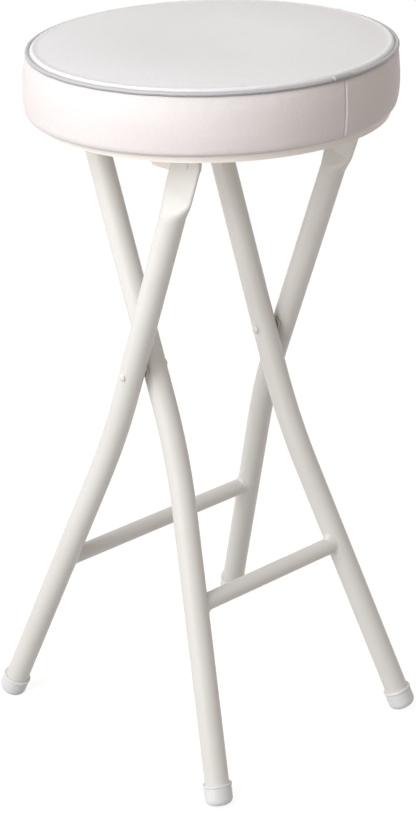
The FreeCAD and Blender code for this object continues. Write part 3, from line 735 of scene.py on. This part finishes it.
def make_foam(cushion):
    """The filling, a little smaller than its cover and flat on the board."""
    side = finer(cushion, np.arange(FOAM_ROW, len(cushion)), full_turn(FOAM_COLUMNS))
    foot = np.array([SEAT_X, 0, FOAM_BOTTOM])
    side = foot + (side - foot) * np.array(FOAM_SHARE)
    lowest = side[:1].copy()
    lowest[:, :, 2] = FOAM_BOTTOM
    rows = np.concatenate([lowest, side])
    points = rows.reshape(-1, 3)
    top, bottom = len(points), len(points) + 1
    faces = grid_faces(len(rows), FOAM_COLUMNS) + end_fans(FOAM_COLUMNS, top - FOAM_COLUMNS, top, bottom)
    obj = mesh_object("filling", [*points, rows[-1].mean(axis=0), foot], faces, FOAM)
    piece(obj, "seat", "foam", "seat_foam")


# Welds between the stretchers and the legs
WELD_SIZE = 3.0 * MM
WELD_SUNK = 0.3 * MM
WELD_HOLLOW = 1.3
WELD_LEAST = 0.8
LUMP_SHARE = 0.3
LUMP_SCALE = 1.7
LUMP_SHIFT = 9
SWELL_SHARPNESS = 4
WELD_STEPS = 96
WELD_ROWS = 9
INNER_SWELLS = (1.9, 0.9)
OUTER_SWELLS = (0.1, 0.3)


def make_welds(name, legs, stretcher_name, body, swells):
    """Weld fillets of a stretcher, swollen below at its -Y end and above at its +Y end."""
    low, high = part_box(stretcher_name)
    centre = Vector(((low[0] + high[0]) / 2, 0, (low[2] + high[2]) / 2))
    radius = (high[2] - low[2]) / 2 - WELD_SUNK
    points, faces = [], []
    for leg_name in (legs + "left", legs + "right"):
        leg = frame["nodes"][leg_name]
        inverse = leg.matrix_world.inverted()
        leg_low, leg_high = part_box(leg_name)
        way = Vector((0, math.copysign(1, leg_low[1] + leg_high[1]), 0))
        swell_turn, swell = way.y * math.pi / 2, swells[int(way.y > 0)]
        faces += grid_faces(WELD_ROWS, WELD_STEPS, first=len(points))
        for row in range(WELD_ROWS):
            share = row / (WELD_ROWS - 1)
            for turn in full_turn(WELD_STEPS):
                out = Vector((math.cos(turn), 0, math.sin(turn)))
                lump = LUMP_SHARE * noise.noise(out * LUMP_SCALE + way + centre * LUMP_SHIFT)
                swollen = swell * max(0, math.cos(turn - swell_turn)) ** SWELL_SHARPNESS
                size = WELD_SIZE * (WELD_LEAST + lump + swollen)
                start = inverse @ (centre + out * radius)
                corner = leg.matrix_world @ leg.ray_cast(start, inverse.to_3x3() @ way)[1]
                beside = inverse @ (corner + out * size * share ** WELD_HOLLOW)
                on_leg = leg.matrix_world @ leg.closest_point_on_mesh(beside)[1]
                points.append(on_leg - way * size * (1 - share) ** WELD_HOLLOW)
    obj = mesh_object(name, points, faces, FRAME_PAINT)
    piece(obj, body, "frame_paint", stretcher_name + "_welds")


# Floor, world and lamps
FLOOR_REACH = 6.0
FLOOR_PALE = 0.5
FLOOR_SEEN = 0.3
FLOOR_GLOW = 0.85
WORLD_LEVEL = 0.48
WORLD_COLOUR = (1.0, 0.905, 0.83)
WINDOW_PLACE = Vector((0.19, -1.85, 1.95))
WINDOW_TARGET = Vector((0, 0, 0.55))
WINDOW = {"energy": 37, "size": 1.4, "color": (0.90, 0.955, 1.0)}
SPOT_PLACE = Vector((0.75, -1.25, 0.25))
SPOT_TARGET = Vector((0, 0, 0.56))
SPOT = {"energy": 12, "spot_size": math.radians(26), "spot_blend": 1, "shadow_soft_size": 0.25}
SUN_ELEVATION = math.radians(6)
SUNS = {
    "low_window": (math.radians(-85), 0.65, math.radians(35), (1.0, 0.94, 0.88)),
    "side_wall": (math.radians(-120), 0.45, math.radians(40), (1.0, 1.0, 0.98)),
}


def seen_directly(tree):
    """A socket that is one where a camera, glossy or transmission ray meets a surface, else zero."""
    path = tree.nodes.new("ShaderNodeLightPath")
    total = path.outputs["Is Camera Ray"]
    for ray in ("Is Glossy Ray", "Is Transmission Ray"):
        add = tree.nodes.new("ShaderNodeMath")
        add.operation = "ADD"
        add.use_clamp = True
        tree.links.new(total, add.inputs[0])
        tree.links.new(path.outputs[ray], add.inputs[1])
        total = add.outputs[0]
    return total


def make_stage():
    """A wide pale floor, white to the camera but for the stool's soft shadow."""
    material = bpy.data.materials.new("floor")
    material.use_nodes = True
    tree = material.node_tree
    pale = tree.nodes["Principled BSDF"]
    pale.inputs["Base Color"].default_value = (FLOOR_PALE, FLOOR_PALE, FLOOR_PALE, 1)
    pale.inputs["Roughness"].default_value = 0.9
    pale.inputs["Specular IOR Level"].default_value = 0.0
    matt = tree.nodes.new("ShaderNodeBsdfDiffuse")
    matt.inputs["Color"].default_value = (FLOOR_SEEN, FLOOR_SEEN, FLOOR_SEEN, 1)
    glow = tree.nodes.new("ShaderNodeEmission")
    glow.inputs["Color"].default_value = (FLOOR_GLOW, FLOOR_GLOW, FLOOR_GLOW, 1)
    seen = tree.nodes.new("ShaderNodeAddShader")
    tree.links.new(matt.outputs[0], seen.inputs[0])
    tree.links.new(glow.outputs[0], seen.inputs[1])
    choose = tree.nodes.new("ShaderNodeMixShader")
    tree.links.new(seen_directly(tree), choose.inputs[0])
    tree.links.new(pale.outputs[0], choose.inputs[1])
    tree.links.new(seen.outputs[0], choose.inputs[2])
    tree.links.new(choose.outputs[0], tree.nodes["Material Output"].inputs["Surface"])
    reach = FLOOR_REACH
    corners = [(-reach, -reach, 0), (reach, -reach, 0), (reach, reach, 0), (-reach, reach, 0)]
    floor = mesh_object("floor", corners, [(0, 1, 2, 3)], material, smooth=False)


def add_lamp(name, kind, turn, place=(0, 0, 0), **settings):
    """A lamp with its settings."""
    data = bpy.data.lights.new(name, kind)
    for setting, value in settings.items():
        setattr(data, setting, value)
    lamp = bpy.data.objects.new(name, data)
    lamp.location = place
    lamp.rotation_euler = turn
    bpy.context.scene.collection.objects.link(lamp)


def aimed(place, target):
    """The turn of a lamp that shines from a place towards a target."""
    return (target - place).to_track_quat("-Z", "Y").to_euler()


def make_lights():
    """A window to the left, a soft spot on the seat's underside, two weak low suns and a pale world."""
    world = bpy.data.worlds.new("world")
    bpy.context.scene.world = world
    world.use_nodes = True
    tree = world.node_tree
    tree.nodes.clear()
    out = tree.nodes.new("ShaderNodeOutputWorld")
    lit = tree.nodes.new("ShaderNodeBackground")
    lit.inputs["Color"].default_value = (*WORLD_COLOUR, 1)
    lit.inputs["Strength"].default_value = WORLD_LEVEL
    seen = tree.nodes.new("ShaderNodeBackground")
    seen.inputs["Color"].default_value = (1, 1, 1, 1)
    choose = tree.nodes.new("ShaderNodeMixShader")
    tree.links.new(seen_directly(tree), choose.inputs[0])
    tree.links.new(lit.outputs[0], choose.inputs[1])
    tree.links.new(seen.outputs[0], choose.inputs[2])
    tree.links.new(choose.outputs[0], out.inputs[0])
    add_lamp("window", "AREA", aimed(WINDOW_PLACE, WINDOW_TARGET), WINDOW_PLACE, **WINDOW)
    add_lamp("under_seat", "SPOT", aimed(SPOT_PLACE, SPOT_TARGET), SPOT_PLACE, **SPOT)
    for name, (azimuth, strength, spread, colour) in SUNS.items():
        turn = (0, math.pi / 2 - SUN_ELEVATION, azimuth)
        add_lamp(name, "SUN", turn, energy=strength, angle=spread, color=colour)


make_camera()
dress_nodes()
cushion_rows = stuffed_cushion()
make_band(cushion_rows)
make_piping()
make_top(cushion_rows)
make_foam(cushion_rows)
make_welds("inner_beads", "inner_leg_", "inner_stretcher", "inner_frame", INNER_SWELLS)
make_welds("outer_beads", "outer_leg_", "outer_stretcher", "outer_frame", OUTER_SWELLS)
make_stage()
make_lights()
bpy.context.scene.view_settings.view_transform = "Standard"
